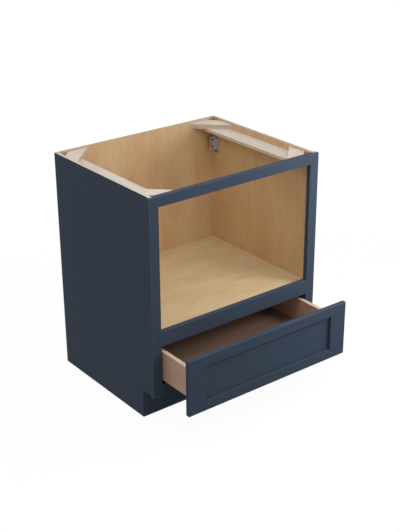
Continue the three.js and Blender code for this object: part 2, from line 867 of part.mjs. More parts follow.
function addDrawerBox(parent) {
  for (const [hand, side] of hands) {
    const board = block([side * boxInner, side * boxOuter], [frontBack, boxRear], [boxLow, boxHigh]);
    const sockets = [boxFrontEnd, boxBackEnd].flatMap((end) => pinSockets(side, end));
    const cut = without(blockGeometry(board), [...sockets, pocketFor(boxBottom)]);
    addPiece(parent, `drawer_side_${hand}`, cut, 'birch');
  }

  const endBoard = ({ end, inward }) => blockGeometry(block(
    [-boxOuter, boxOuter],
    [end, end + inward * (boxWall - fitGap)],
    [boxLow, boxHigh],
  ));
  const tails = (end) => [-1, 1].flatMap((side) => tailRooms(side, end));

  const screwHoles = [-1, 1].flatMap((side) => Object.values(frontScrewHeights).map((height) => (
    screwHole(longScrew, side * frontScrewX, height, [frontBack - boxWall, frontBack + 2 * boxWall])
  )));
  const front = without(endBoard(boxFrontEnd), [
    ...tails(boxFrontEnd),
    pocketFor(boxBottom),
    ...screwHoles,
  ]);
  addPiece(parent, 'drawer_box_front', front, 'birch');

  const slideNotches = [-1, 1].map((side) => blockGeometry(block(
    [side * (boxInner - fitGap), side * (boxInner - slideNotchWidth)],
    [boxRear - 2 * boxWall, boxRear + boxWall],
    [boxLow - boxWall, boxUnderside],
  )));
  const hookHoles = [-1, 1].map((side) => run(
    disc(hookPlane, side * slideCentre, hookRadius + fitGap),
    'y',
    [boxRear - 2 * boxWall, boxRear + boxWall],
    holeDetail,
  ));
  const back = without(endBoard(boxBackEnd), [
    ...tails(boxBackEnd),
    pocketFor(boxBottom),
    ...slideNotches,
    ...hookHoles,
  ]);
  addPiece(parent, 'drawer_box_back', back, 'birch');
  addPiece(parent, 'drawer_bottom', blockGeometry(boxBottom), 'birch');

  for (const [hand, side] of hands) {
    for (const [level, height] of Object.entries(frontScrewHeights)) {
      const name = `drawer_front_screw_${hand}_${level}`;
      const screw = addPiece(parent, name, screwGeometry(longScrew), 'zinc');
      screw.position.set(side * frontScrewX, frontBack + boxWall + fitGap, height);
    }
  }
}

// Soft buttons behind the upper corners of the drawer front land on the stiles.
function addBumpers(parent) {
  const profile = [
    new THREE.Vector2(0, 0),
    new THREE.Vector2(bumperRadius, 0),
    new THREE.Vector2(bumperRadius, bumperRim),
    new THREE.Vector2(bumperTopRadius, bumperThickness),
    new THREE.Vector2(0, bumperThickness),
  ];
  for (const [hand, side] of hands) {
    const button = new THREE.LatheGeometry(profile, turnedSides);
    const bumper = addPiece(parent, `drawer_bumper_${hand}`, button, 'clearBumper');
    bumper.position.set(side * (frontHalf - bumperInset), frontBack, frontTop - bumperInset);
  }
}

// ---- Assembly ---------------------------------------------------------------------------------

const cabinet = new THREE.Group();
addCarcass(cabinet);
addFaceFrame(cabinet);
addAngleBrackets(cabinet);
addFixedSlides(cabinet);

// The middle members travel half as far as the drawer.
const middleSlides = new THREE.Group();
addMiddleSlides(middleSlides);
middleSlides.position.y = -drawerOut / 2;
cabinet.add(middleSlides);

const drawer = new THREE.Group();
addDrawerFront(drawer);
addDrawerBox(drawer);
addDrawerSlides(drawer);
addBumpers(drawer);
drawer.position.y = -drawerOut;
cabinet.add(drawer);

// The reference point is the middle of the footprint, with the drawer as it stands.
const foremost = frontFace - drawerOut;
cabinet.position.y = -(foremost + cabinetDepth) / 2;

const assembly = new THREE.Group();
assembly.add(cabinet);

export default assembly;
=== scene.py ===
# %% [markdown]
# # A microwave base cabinet
#
# The cabinet is a painted face frame on a plywood box, with an open bay over one
# drawer. Its boards, brackets and slides arrive here already cut and in place, in
# metres, so this lesson adds what the saw does not: paint, veneer, plywood edges,
# softened corners, the recesses in the screw heads, light and a camera.

import math

import bmesh
import bpy
from mathutils import Matrix, Vector


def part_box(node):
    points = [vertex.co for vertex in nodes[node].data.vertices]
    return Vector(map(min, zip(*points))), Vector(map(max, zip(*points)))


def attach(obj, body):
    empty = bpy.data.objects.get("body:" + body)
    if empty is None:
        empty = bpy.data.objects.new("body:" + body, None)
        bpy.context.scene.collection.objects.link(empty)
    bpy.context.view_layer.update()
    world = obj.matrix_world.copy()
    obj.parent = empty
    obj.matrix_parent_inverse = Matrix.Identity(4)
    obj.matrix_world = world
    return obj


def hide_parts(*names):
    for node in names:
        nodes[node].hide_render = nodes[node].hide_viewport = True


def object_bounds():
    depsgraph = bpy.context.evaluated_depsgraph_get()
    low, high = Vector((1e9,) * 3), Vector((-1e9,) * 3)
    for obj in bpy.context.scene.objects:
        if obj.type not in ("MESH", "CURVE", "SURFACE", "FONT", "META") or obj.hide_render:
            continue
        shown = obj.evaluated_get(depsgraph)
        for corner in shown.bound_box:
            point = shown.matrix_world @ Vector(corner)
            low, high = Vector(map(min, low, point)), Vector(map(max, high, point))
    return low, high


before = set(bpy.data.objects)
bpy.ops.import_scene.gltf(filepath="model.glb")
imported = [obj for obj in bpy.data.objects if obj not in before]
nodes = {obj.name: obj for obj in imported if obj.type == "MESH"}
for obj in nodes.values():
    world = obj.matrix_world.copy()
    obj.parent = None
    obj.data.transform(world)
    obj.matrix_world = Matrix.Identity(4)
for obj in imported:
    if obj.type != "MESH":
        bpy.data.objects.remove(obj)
joinery_box = [list(corner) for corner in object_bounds()]

# %% [markdown]
# ## The camera
#
# A catalogue picture of a cabinet is taken from its left, a little above the
# worktop, with a long lens. The place, the turn and the lens below came from
# matching the straight edges of the cabinet in the picture, so edges that run away
# from the eye meet at the right points. A camera looks along its own -Z, so its
# rotation is built from the three directions right, up and backwards.

# %% Place the camera
IMAGE_HEIGHT_PX = 532
FOCAL_LENGTH_PX = 1086.56
SENSOR_HEIGHT_MM = 36.0
EYE = Vector((-2.2783, -2.9418, 2.1505))
HEADING = math.radians(37.641)  # to the right of straight at the frame
DOWNWARD = math.radians(24.515)
TILT = math.radians(-0.371)  # the camera was not quite level

forward = Vector((
    math.sin(HEADING) * math.cos(DOWNWARD),
    math.cos(HEADING) * math.cos(DOWNWARD),
    -math.sin(DOWNWARD),
))
level_right = Vector((math.cos(HEADING), -math.sin(HEADING), 0.0))
level_up = level_right.cross(forward)
right = level_right * math.cos(TILT) + level_up * math.sin(TILT)
up = level_up * math.cos(TILT) - level_right * math.sin(TILT)

camera_data = bpy.data.cameras.new("catalogue_camera")
camera_data.sensor_fit = "VERTICAL"
camera_data.sensor_height = SENSOR_HEIGHT_MM
camera_data.lens = SENSOR_HEIGHT_MM * FOCAL_LENGTH_PX / IMAGE_HEIGHT_PX
camera = bpy.data.objects.new("catalogue_camera", camera_data)
bpy.context.scene.collection.objects.link(camera)
turn = Matrix((right, up, -forward)).transposed().to_4x4()
camera.matrix_world = Matrix.Translation(EYE) @ turn
bpy.context.scene.camera = camera
print("lens", round(camera_data.lens, 1), "mm")

# %% [markdown]
# ## Writing shaders as sums
#
# A finish is a graph of small nodes, and long graphs are hard to read as node
# calls. A thin wrapper round an output socket lets Python's own operators add the
# Math nodes, so a mask can be written the way one would write it on paper. Colours
# and vectors keep their own nodes, because a Math node would turn them grey.

# %% A wire and a graph
class Wire:
    """An output socket. Arithmetic on it adds Math nodes to its graph."""

    def __init__(self, graph, socket):
        self.graph = graph
        self.socket = socket

    def math(self, operation, first, second):
        return self.graph.node("ShaderNodeMath", {0: first, 1: second}, operation=operation)

    def __add__(self, other):
        return self.math("ADD", self, other)

    __radd__ = __add__

    def __mul__(self, other):
        return self.math("MULTIPLY", self, other)

    __rmul__ = __mul__

    def __sub__(self, other):
        return self.math("SUBTRACT", self, other)

    def __rsub__(self, other):
        return self.math("SUBTRACT", other, self)


class Graph:
    """A material and the nodes that feed its Principled shader."""

    def __init__(self, name):
        self.material = bpy.data.materials.new(name)
        self.material.use_nodes = True
        self.tree = self.material.node_tree
        self.surface = self.tree.nodes["Principled BSDF"]

    def feed(self, socket, value):
        if isinstance(value, Wire):
            self.tree.links.new(value.socket, socket)
        else:
            socket.default_value = value

    def node(self, kind, inputs=None, output=0, **settings):
        made = self.tree.nodes.new(kind)
        for setting, value in settings.items():
            setattr(made, setting, value)
        for socket, value in (inputs or {}).items():
            self.feed(made.inputs[socket], value)
        return Wire(self, made.outputs[output])

    def set(self, **values):
        for socket, value in values.items():
            self.feed(self.surface.inputs[socket.replace("_", " ")], value)
        return self.material


print("shader helpers ready")

# %% [markdown]
# ## Small words for shaders
#
# A few things come back in nearly every finish here: noise, often drawn out along
# the grain, a soft threshold that turns noise into separate marks, a mix of two
# colours, and a bump. They get short names of their own. Colours are written as a
# paint shop reads them off a screen, from 0 to 255, and turned into the linear light
# that the renderer counts in.

# %% Noise, thresholds, colours and bumps
def srgb(red, green, blue):
    def linear(value):
        share = value / 255
        return share / 12.92 if share <= 0.04045 else ((share + 0.055) / 1.055) ** 2.4

    return (linear(red), linear(green), linear(blue), 1.0)


MIX_FACTOR, MIX_A, MIX_B, MIX_RESULT = 0, 6, 7, 2  # colour sockets of a Mix node


def mix(graph, factor, first, second):
    sockets = {MIX_FACTOR: factor, MIX_A: first, MIX_B: second}
    return graph.node("ShaderNodeMix", sockets, MIX_RESULT, data_type="RGBA")


def soft_step(graph, value, low, high):
    sockets = {"Value": value, "From Min": low, "From Max": high}
    return graph.node("ShaderNodeMapRange", sockets, interpolation_type="SMOOTHSTEP")


def object_place(graph):
    return graph.node("ShaderNodeTexCoord", output="Object")


def split(graph, vector):
    return [graph.node("ShaderNodeSeparateXYZ", {0: vector}, axis) for axis in "XYZ"]


def noise(graph, place, per_metre, detail, roughness=0.5):
    """`per_metre` is one scale for all directions, or one for each axis."""
    scales = per_metre if isinstance(per_metre, tuple) else (per_metre,) * 3
    scaled = graph.node("ShaderNodeVectorMath", {0: place, 1: scales}, operation="MULTIPLY")
    sockets = {"Vector": scaled, "Scale": 1.0, "Detail": detail, "Roughness": roughness}
    return graph.node("ShaderNodeTexNoise", sockets)


def bump(graph, height, metres, strength, under=None):
    """Relief of a real height; `under` is a coarser relief that it lies on."""
    sockets = {"Height": height, "Distance": metres, "Strength": strength}
    if under is not None:
        sockets["Normal"] = under
    return graph.node("ShaderNodeBump", sockets)


def along(grain, lengthwise, crosswise):
    """Scales for the three axes, with its own scale along the grain."""
    return tuple(lengthwise if axis == grain else crosswise for axis in "xyz")


print("mid grey in linear light:", round(srgb(128, 128, 128)[0], 3))

# %% [markdown]
# ## Rubbed edges and painted highlights
#
# Paint is thinnest where two faces meet, and hands and cloths polish it there, so
# the edges of a painted board look a little lighter. The lighter edge is also a
# painted highlight, for the light that a rounded edge would catch. A point near an
# edge is close to two faces of the board's own box at once. The distance to the
# nearest face on each axis comes from the middle of the box, and a product of two
# nearnesses marks the edge between them. The marks are broken up with noise, as
# real wear is.

# %% Find the edges of a board
def near_faces(graph, place, node, reach):
    low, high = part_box(node)
    middle, half = (low + high) / 2, (high - low) / 2
    for operation, other in (("SUBTRACT", middle), ("ABSOLUTE", None), ("SUBTRACT", half)):
        sockets = {0: place} if other is None else {0: place, 1: other}
        place = graph.node("ShaderNodeVectorMath", sockets, operation=operation)
    return [soft_step(graph, outside, -reach, 0.0) for outside in split(graph, place)]


# Marks the edges for rubbed paint and for a painted highlight.
def board_wear_and_highlight(graph, place, node, reach):
    near_x, near_y, near_z = near_faces(graph, place, node, reach)
    patches = soft_step(graph, noise(graph, place, 55.0, detail=4.0), 0.3, 0.7)
    return (near_x * near_y + near_y * near_z + near_z * near_x) * patches


low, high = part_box("frame_stile_left")
print("left stile is", [round(side, 4) for side in high - low], "m")

# %% [markdown]
# ## Navy paint
#
# The outside is sprayed with a satin lacquer. From a step away it is one even blue,
# but the eye knows it for paint by small things: a slight orange peel from the
# spray, the wood's grain that still telegraphs through in long shallow lines, and a
# sheen that is a little uneven. One noise does each. The grain follows the board,
# so every stile, rail and panel gets a paint of its own direction and edges.

# %% Mix the paint
NAVY = srgb(65, 76, 92)
NAVY_DEEP = srgb(60, 70, 85)
# Lighter navy for the edges: rubbed paint and a painted highlight in one.
NAVY_RUBBED_AND_HIGHLIT = srgb(96, 108, 124)
RUBBED_AND_HIGHLIGHT_SHARE = 0.7
SATIN = 0.04  # level of the paint's reflection
PEEL_DEPTH = 0.00004
GRAIN_DEPTH = 0.00005
WEAR_AND_HIGHLIGHT_REACH = 0.0022


def navy_paint(node, grain):
    graph = Graph(f"navy_{node}")
    place = object_place(graph)
    clouds = noise(graph, place, 3.0, detail=3.0)
    lines = noise(graph, place, along(grain, 5.0, 420.0), detail=3.0, roughness=0.6)
    peel = noise(graph, place, 380.0, detail=1.0)
    # The edges are lighter: partly wear, partly a painted highlight.
    worn_and_highlit = board_wear_and_highlight(graph, place, node, WEAR_AND_HIGHLIGHT_REACH)
    grained = bump(graph, lines, GRAIN_DEPTH, 0.5)
    coat = mix(graph, clouds * 0.7 + lines * 0.3, NAVY_DEEP, NAVY)
    return graph.set(
        Base_Color=mix(graph, worn_and_highlit * RUBBED_AND_HIGHLIGHT_SHARE, coat, NAVY_RUBBED_AND_HIGHLIT),
        Roughness=0.44 + clouds * 0.10 + lines * 0.04 - worn_and_highlit * 0.10,
        Specular_IOR_Level=SATIN,
        Normal=bump(graph, peel, PEEL_DEPTH, 0.5, under=grained),
    )


print("navy in linear light:", [round(value, 3) for value in NAVY[:3]])

# %% [markdown]
# ## Maple veneer
#
# The inside of the box is plywood with a clear-coated maple face. Maple is quiet: a
# slow figure that runs up the board in flames, very fine fibres, small dark flecks
# and a warm cast that comes and goes over a hand's width. The flames are the
# contour lines of a stretched noise, which is also how they come about in the log:
# the knife cuts through growth rings that bend slightly.

# %% Lay the veneer
MAPLE_FLECK = srgb(140, 100, 66)
DECK_SHEET = (srgb(211, 190, 151), srgb(200, 174, 132), srgb(184, 153, 111))
WALL_SHEET = (srgb(211, 182, 139), srgb(201, 160, 118), srgb(174, 134, 95))
DECK_CLOUDS, WALL_CLOUDS = (7.0, 14.0), (2.5, 6.0)  # per metre, along and across the grain
FLAMES = 7.0


def veneer(name, grain, sheet, cloud_scales, cloudy, stroked):
    light, warm, ring = sheet
    graph = Graph(name)
    place = object_place(graph)
    slow = noise(graph, place, along(grain, 1.0, 5.0), detail=2.0, roughness=0.4)
    waves = graph.node("ShaderNodeMath", {0: slow * FLAMES * 2 * math.pi}, operation="SINE")
    clouds = noise(graph, place, along(grain, *cloud_scales), detail=4.0, roughness=0.6)
    strokes = noise(graph, place, along(grain, 26.0, 190.0), detail=3.0, roughness=0.6)
    fibres = noise(graph, place, along(grain, 12.0, 900.0), detail=3.0, roughness=0.65)
    marks = noise(graph, place, along(grain, 80.0, 1500.0), detail=1.0)
    flecks = soft_step(graph, marks, 0.66, 0.74)
    ground = mix(graph, soft_step(graph, clouds, 0.35, 0.7) * cloudy, light, warm)
    shade = (
        soft_step(graph, waves, -0.2, 1.0) * 0.10
        + soft_step(graph, strokes, 0.42, 0.75) * stroked
        + soft_step(graph, fibres, 0.45, 0.8) * 0.22
    )
    return graph.set(
        Base_Color=mix(graph, flecks * 0.35, mix(graph, shade, ground, ring), MAPLE_FLECK),
        Roughness=0.42 + fibres * 0.12,
        Specular_IOR_Level=0.35,
        Normal=bump(graph, fibres - flecks * 0.5, 0.00004, 0.6),
    )


maple = {
    "x": veneer("maple_deck", "x", DECK_SHEET, DECK_CLOUDS, cloudy=0.75, stroked=0.13),
    "z": veneer("maple_wall", "z", WALL_SHEET, WALL_CLOUDS, cloudy=0.8, stroked=0.25),
}
print("veneers:", sorted(face.name for face in maple.values()))

# %% [markdown]
# ## Bare plywood
#
# Strips, corner blocks and the back of the back panel have no finish at all. The
# wood is pale and dull, with the same fibres as the veneer but no warm cast. A few
# wide, faint rings lie under darker grain lines that run the length of the board,
# and a threshold on a long thin noise gives those lines their gaps.

# %% Leave the plywood bare
BARE_LIGHT = srgb(223, 212, 199)
BARE_DARK = srgb(196, 181, 164)


def bare_wood(name, grain, light, dark, roughness=0.62):
    graph = Graph(name)
    place = object_place(graph)
    slow = noise(graph, place, along(grain, 2.0, 16.0), detail=3.0)
    lines = noise(graph, place, along(grain, 3.0, 210.0), detail=2.0)
    fibres = noise(graph, place, along(grain, 12.0, 800.0), detail=4.0, roughness=0.65)
    marks = noise(graph, place, along(grain, 90.0, 1700.0), detail=1.0)
    flecks = soft_step(graph, marks, 0.64, 0.74)
    shade = (
        soft_step(graph, slow, 0.35, 0.7) * 0.42
        + soft_step(graph, lines, 0.52, 0.7) * 0.6
        + soft_step(graph, fibres, 0.4, 0.8) * 0.45
    )
    return graph.set(
        Base_Color=mix(graph, flecks * 0.25, mix(graph, shade, light, dark), MAPLE_FLECK),
        Roughness=roughness + fibres * 0.12,
        Normal=bump(graph, fibres - flecks * 0.5, 0.00008, 0.7),
    )


bare = {
    grain: bare_wood(f"bare_plywood_{grain}", grain, BARE_LIGHT, BARE_DARK)
    for grain in "xyz"
}
print("bare faces:", sorted(face.name for face in bare.values()))

# %% [markdown]
# ## Plywood edges
#
# Where plywood is sawn its layers show: every second ply runs lengthwise and stays
# pale, the others are cut across and look darker and porous, and thin glue lines
# part them. The layer under a point follows from how far it lies through the board,
# so each board tells the shader its thickness. The distance within one ply and
# whether its number is odd give the glue line and the alternation. Cheap sheets have
# small dark gaps in the core. The left side's edges are paler, and those of the right
# side and the back darker.

# %% Show the plies
PLY_LONG = srgb(226, 214, 192)
PLY_LONG_PALER = srgb(240, 233, 221)
PLY_LONG_DARKER = srgb(200, 184, 158)
PLY_CROSS = srgb(165, 143, 118)
GLUE_LINE = srgb(122, 98, 76)
CORE_VOID = srgb(92, 70, 52)
GLUE_SHARE = 0.07  # of a ply
STRIP_CONTRAST, SANDED_CONTRAST, SAWN_CONTRAST = 0.35, 0.45, 1.0


def ply_edge(name, axis, low, high, plies, contrast, lengthwise):
    graph = Graph(name)
    place = object_place(graph)
    through = split(graph, place)["xyz".index(axis)]
    layer = (through - low) * (plies / (high - low))
    within = graph.node("ShaderNodeMath", {0: layer, 1: 0.5}, operation="PINGPONG")
    glue = 1 - soft_step(graph, within, 0.0, GLUE_SHARE)
    half = graph.node("ShaderNodeMath", {0: layer * 0.5}, operation="FRACT")
    cross = graph.node("ShaderNodeMath", {0: half, 1: 0.5}, operation="GREATER_THAN")
    pores = noise(graph, place, 1400.0, detail=2.0)
    streaks = noise(graph, place, along(axis, 900.0, 30.0), detail=3.0)
    pale = mix(graph, soft_step(graph, streaks, 0.35, 0.75) * 0.5, lengthwise, PLY_CROSS)
    porous = mix(graph, soft_step(graph, pores, 0.5, 0.75) * 0.6, PLY_CROSS, GLUE_LINE)
    layered = mix(graph, cross * contrast, pale, porous)
    knots = noise(graph, place, along(axis, 420.0, 190.0), detail=2.0)
    voids = soft_step(graph, knots, 0.6, 0.68) * contrast
    gapped = mix(graph, voids * 0.6, layered, CORE_VOID)
    return graph.set(
        Base_Color=mix(graph, glue * 0.7, gapped, GLUE_LINE),
        Roughness=0.68 + pores * 0.14,
        Normal=bump(graph, streaks * 0.5 - glue * 0.6 - cross * pores, 0.00012, 0.7),
    )


def board_edges(node, axis, plies, contrast=SANDED_CONTRAST, lengthwise=PLY_LONG):
    low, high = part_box(node)
    side = "xyz".index(axis)
    return ply_edge(f"plies_{node}", axis, low[side], high[side], plies, contrast, lengthwise)


low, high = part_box("microwave_deck")
print("deck thickness", round(high.z - low.z, 4), "m")

# %% [markdown]
# ## Birch for the drawer
#
# The drawer box is solid birch under a clear coat: pale, slightly pink, with a
# straight grain that follows each board. Where a board ends, as in the dovetails,
# the cut fibres drink more lacquer and turn darker, so end grain is a finish of its
# own, speckled instead of streaked. The upper rims are painted paler, a painted
# highlight for the light that falls on them from above, and the tray deep in the box
# is painted darker, as painted shade.

# %% Birch faces and end grain
BIRCH_LIGHT = srgb(199, 163, 136)
BIRCH_DARK = srgb(177, 139, 112)
# The tray's darker colours are painted shade.
TRAY_SHADE_LIGHT = srgb(138, 114, 98)
TRAY_SHADE_DARK = srgb(114, 89, 71)
# The rims' paler colours are a painted highlight from above.
RIM_HIGHLIGHT_LIGHT = srgb(214, 192, 172)
RIM_HIGHLIGHT_DARK = srgb(195, 169, 147)
END_LIGHT = srgb(186, 152, 120)
END_DARK = srgb(152, 118, 88)

birch = {
    grain: bare_wood(f"birch_{grain}", grain, BIRCH_LIGHT, BIRCH_DARK, roughness=0.42)
    for grain in "xyz"
}
# Painted shade on the tray, painted highlight on the rims.
birch["tray"] = bare_wood("birch_tray_painted_shade", "x", TRAY_SHADE_LIGHT, TRAY_SHADE_DARK, roughness=0.42)
birch["rim"] = bare_wood("birch_rim_painted_highlight", "y", RIM_HIGHLIGHT_LIGHT, RIM_HIGHLIGHT_DARK)


def end_grain(name):
    graph = Graph(name)
    place = object_place(graph)
    pores = noise(graph, place, 1600.0, detail=2.0)
    rings = noise(graph, place, (60.0, 60.0, 240.0), detail=2.0)
    shade = soft_step(graph, rings, 0.35, 0.7) * 0.5 + soft_step(graph, pores, 0.45, 0.75) * 0.5
    return graph.set(
        Base_Color=mix(graph, shade, END_LIGHT, END_DARK),
        Roughness=0.5 + pores * 0.15,
        Normal=bump(graph, pores, 0.00006, 0.6),
    )


birch_end = end_grain("birch_end_grain")
print("birch:", sorted(face.name for face in birch.values()), birch_end.name)

# %% [markdown]
# ## Metal and plastic
#
# Bracket and slides are folded from zinc-plated sheet. The plating is neither a
# mirror nor matt: it has a cloudy bloom and fine rolling lines, both of which live
# in the roughness. The slides' zinc is made much darker than the bracket's, as
# painted shade for the shadow under the drawer. Screws in the bracket are
# blackened. Glides, clips and the slides' rear brackets are moulded, with the faint
# texture of a spark-eroded mould, and the bumpers are clear drops of rubber.

# %% Plate, blacken and mould
def zinc_plate(name, tint, rolled):
    graph = Graph(name)
    place = object_place(graph)
    bloom = noise(graph, place, 55.0, detail=4.0)
    lines = noise(graph, place, along(rolled, 14.0, 1300.0), detail=2.0)
    dull = srgb(*(value * 0.84 for value in tint))
    return graph.set(
        Base_Color=mix(graph, bloom, dull, srgb(*tint)),
        Metallic=1.0,
        Roughness=0.30 + bloom * 0.22 + lines * 0.08,
        Normal=bump(graph, lines, 0.00002, 0.5),
    )


def moulded(name, tint, roughness, clear=0.0):
    graph = Graph(name)
    place = object_place(graph)
    spark = noise(graph, place, 1500.0, detail=2.0)
    flow = noise(graph, place, 40.0, detail=3.0)
    dull = srgb(*(value * 0.93 for value in tint))
    return graph.set(
        Base_Color=mix(graph, flow, dull, srgb(*tint)),
        Roughness=roughness + spark * 0.12,
        Transmission_Weight=clear,
        Normal=bump(graph, spark, 0.00003, 0.5),
    )


bracket_zinc = zinc_plate("bracket_zinc", (212, 206, 202), "z")
# Darker zinc on the slides is painted shade.
slide_zinc_painted_shade = zinc_plate("slide_zinc_painted_shade", (128, 130, 132), "y")
screw_zinc = zinc_plate("screw_zinc", (206, 202, 190), "y")
screw_black = zinc_plate("screw_black", (58, 56, 55), "y")
nylon = moulded("white_nylon", (226, 223, 214), 0.38)
grey_plastic = moulded("grey_plastic", (112, 116, 120), 0.42)
clear_rubber = moulded("clear_rubber", (224, 228, 228), 0.16, clear=0.6)
print("hardware finishes ready")

# %% [markdown]
# ## Dress the boards
#
# One board can show three finishes: paint outside, veneer inside and plies on its
# edges. The faces of a sawn board look along the axes, so the direction that a face
# looks in is enough to tell them apart, and each face gets the material slot of its
# direction. The board's shape isn't touched.

# %% Finishes by the direction that a face looks in
LEFT, RIGHT = Vector((-1, 0, 0)), Vector((1, 0, 0))
FRONT, BACK = Vector((0, -1, 0)), Vector((0, 1, 0))
DOWN, UP = Vector((0, 0, -1)), Vector((0, 0, 1))
HANDS = {"left": LEFT, "right": RIGHT}
SAME_WAY = 0.9  # cosine of the angle between a face and its direction


def dress(node, rest, faces=()):
    """`faces` pairs a direction with a finish; every other face gets `rest`."""
    mesh = nodes[node].data
    mesh.materials.clear()
    for finish in (rest, *(finish for _, finish in faces)):
        mesh.materials.append(finish)
    for polygon in mesh.polygons:
        polygon.material_index = 0
        for slot, (direction, _) in enumerate(faces, start=1):
            if polygon.normal.dot(direction) > SAME_WAY:
                polygon.material_index = slot


SHEET_PLIES = 7
STRIP_PLIES = 3
BLOCK_PLIES = 9
TRAY_PLIES = 3

for hand, outward in HANDS.items():
    panel = f"side_panel_{hand}"
    # Paler ply edges on the left side, darker ones on the right.
    lengthwise = PLY_LONG_PALER if hand == "left" else PLY_LONG_DARKER
    edges = board_edges(panel, "x", SHEET_PLIES, lengthwise=lengthwise)
    paint = navy_paint(panel, "z")
    dress(panel, edges, [(outward, paint), (-outward, maple["z"]), (FRONT, paint)])
    strip_edges = board_edges(f"side_strip_{hand}", "z", STRIP_PLIES, STRIP_CONTRAST)
    dress(f"side_strip_{hand}", strip_edges, [(UP, bare["y"]), (DOWN, bare["y"])])
    for end in ("front", "back"):
        block = f"corner_block_{end}_{hand}"
        block_edges = board_edges(block, "z", BLOCK_PLIES, SAWN_CONTRAST)
        dress(block, block_edges, [(UP, bare["x"]), (DOWN, bare["x"])])

back_edges = board_edges("back_panel", "y", SHEET_PLIES, lengthwise=PLY_LONG_DARKER)
dress("back_panel", back_edges, [(FRONT, maple["z"]), (BACK, bare["z"])])
for board in ("microwave_deck", "cabinet_floor"):
    dress(board, board_edges(board, "z", SHEET_PLIES), [(UP, maple["x"]), (DOWN, bare["x"])])
toe_edges = board_edges("toe_kick_board", "y", SHEET_PLIES)
toe_paint = navy_paint("toe_kick_board", "x")
dress("toe_kick_board", toe_edges, [(FRONT, toe_paint), (BACK, bare["x"])])
print("carcass dressed")

# %% [markdown]
# ## Dress frame, drawer and hardware
#
# Rails have the grain across, stiles upright, and the paint follows. In the drawer
# box the end of a board looks along its grain, so those faces are end grain: that
# is what makes a dovetail readable.

# %% The other pieces
UPRIGHT = (
    "frame_stile_left", "frame_stile_right",
    "drawer_front_stile_left", "drawer_front_stile_right",
)
ACROSS = (
    "frame_top_rail", "frame_mid_rail", "frame_bottom_rail",
    "drawer_front_rail_top", "drawer_front_rail_bottom", "drawer_front_panel",
)
for members, grain in ((UPRIGHT, "z"), (ACROSS, "x")):
    for member in members:
        dress(member, navy_paint(member, grain))

side_ends = [(FRONT, birch_end), (BACK, birch_end)]
for hand in HANDS:
    # The rims that face up get the painted highlight.
    dress(f"drawer_side_{hand}", birch["y"], side_ends + [(UP, birch["rim"])])
for end in ("front", "back"):
    dress(f"drawer_box_{end}", birch["x"], [(LEFT, birch_end), (RIGHT, birch_end)])
tray_edges = board_edges("drawer_bottom", "z", TRAY_PLIES)
# The tray's top gets the painted shade.
dress("drawer_bottom", tray_edges, [(UP, birch["tray"]), (DOWN, birch["x"])])

for hand in HANDS:
    dress(f"angle_bracket_{hand}", bracket_zinc)
    for member in ("fixed", "middle", "drawer"):
        dress(f"slide_{member}_member_{hand}", slide_zinc_painted_shade)
    for piece in ("slide_rear_bracket", "slide_front_clip"):
        dress(f"{piece}_{hand}", grey_plastic)
    for seat in ("lower_front", "lower_rear", "upper_front", "upper_rear"):
        dress(f"slide_glide_{seat}_{hand}", nylon)
    dress(f"drawer_bumper_{hand}", clear_rubber)
print("all pieces dressed")

# %% [markdown]
# ## Soften the corners
#
# No real corner is perfectly sharp: a sander breaks it, paint rounds it, and a thin
# line of light runs along it. Three modifiers do that without touching the mesh.
# Weld joins the triangles, Decimate takes the seams out of flat faces, and Bevel
# rounds what is left. The two strips are rounder than the other sawn boards. The
# face frame and the drawer front keep the model's own edges, and there the lighter
# rubbed paint stands for the wear and, as a painted highlight, for the light that a
# rounded edge would catch.

# %% Bevels
STRIP_EASE = 0.0009
SAWN_EASE = 0.0004
METAL_EASE = 0.0003
WELD_REACH = 0.00001
FLAT_WITHIN = math.radians(0.5)
SHARP_FROM = math.radians(40)


def soften(node, width):
    piece = nodes[node]
    weld = piece.modifiers.new("join_triangles", "WELD")
    weld.merge_threshold = WELD_REACH
    flat = piece.modifiers.new("clear_flat_seams", "DECIMATE")
    flat.decimate_type = "DISSOLVE"
    flat.angle_limit = FLAT_WITHIN
    flat.delimit = {"MATERIAL"}
    ease = piece.modifiers.new("break_edges", "BEVEL")
    ease.width = width
    ease.segments = 2
    ease.limit_method = "ANGLE"
    ease.angle_limit = SHARP_FROM
    ease.use_clamp_overlap = True


STRIPS = ("side_strip",)
SAWN = (
    "side_panel", "corner_block", "back_panel", "microwave_deck", "cabinet_floor",
    "toe_kick", "drawer_side", "drawer_box", "drawer_bottom",
    "slide_rear_bracket", "slide_front_clip",
)
FOLDED = ("angle_bracket", "slide_fixed", "slide_middle", "slide_drawer")
softened = 0
for width, families in ((STRIP_EASE, STRIPS), (SAWN_EASE, SAWN), (METAL_EASE, FOLDED)):
    for node in nodes:
        if node.startswith(families):
            soften(node, width)
            softened += 1
print("softened", softened, "pieces")

# %% [markdown]
# ## Screws with a cross recess
#
# A pan-head screw is a turned part: a domed head, a neck and a threaded shank with
# a point. So it is built from rings round one axis, joined by strips of faces. The
# cross that the driver fits is a ring too, only its radius changes with the angle:
# it is long in the four arms and short between them. A second, smaller cross deeper
# down makes the tapered walls of the recess.

# %% Turn a screw
SCREW_SIDES = 32
THREAD_PITCH = 0.0012
ARM_SHARE = 0.24  # width of an arm of the cross over its length
CREASE = math.radians(38)
TINY = 1e-6
SHORT = {"head": 0.0036, "height": 0.0022, "shank": 0.0017, "length": 0.011}
MEDIUM = {"head": 0.0041, "height": 0.0024, "shank": 0.0020, "length": 0.022}
LONG = {"head": 0.0046, "height": 0.0028, "shank": 0.0021, "length": 0.030}


def cross_radius(angle, arm):
    across, upright = abs(math.cos(angle)), abs(math.sin(angle))
    width = arm * ARM_SHARE
    lying = min(arm / max(across, TINY), width / max(upright, TINY))
    standing = min(width / max(across, TINY), arm / max(upright, TINY))
    return max(lying, standing)


